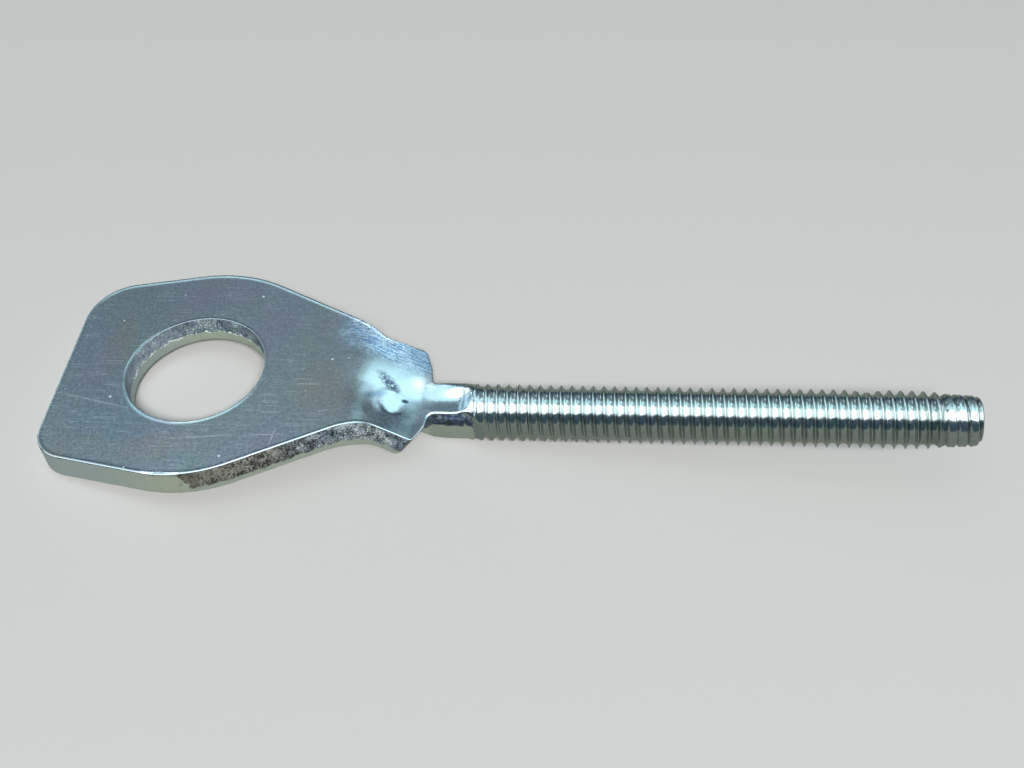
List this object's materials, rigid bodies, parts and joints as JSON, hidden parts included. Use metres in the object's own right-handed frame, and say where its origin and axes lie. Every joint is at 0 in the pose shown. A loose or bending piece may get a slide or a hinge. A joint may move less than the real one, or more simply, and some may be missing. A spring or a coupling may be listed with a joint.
{
  "type": "motorcycle chain adjuster",
  "caption": "One-piece chain adjuster: flat eye plate for the wheel axle, joggled and swaged through a square neck into a long threaded stud; zinc-plated steel.",
  "frame": {"origin": "centre of the axle hole, in the middle of the eye plate's thickness", "axes": "+X from the hole along the stud towards its free end, +Z along the hole's axis, away from the side that the stud is set off to"},
  "size_m": [0.1208, 0.0364, 0.0116],
  "materials": {
    "zinc_plate": "bright zinc plate with a blue passivate, over sheared and forged steel"
  },
  "bodies": {
    "root": {"chain_adjuster": "zinc_plate"}
  },
  "joints": []
}
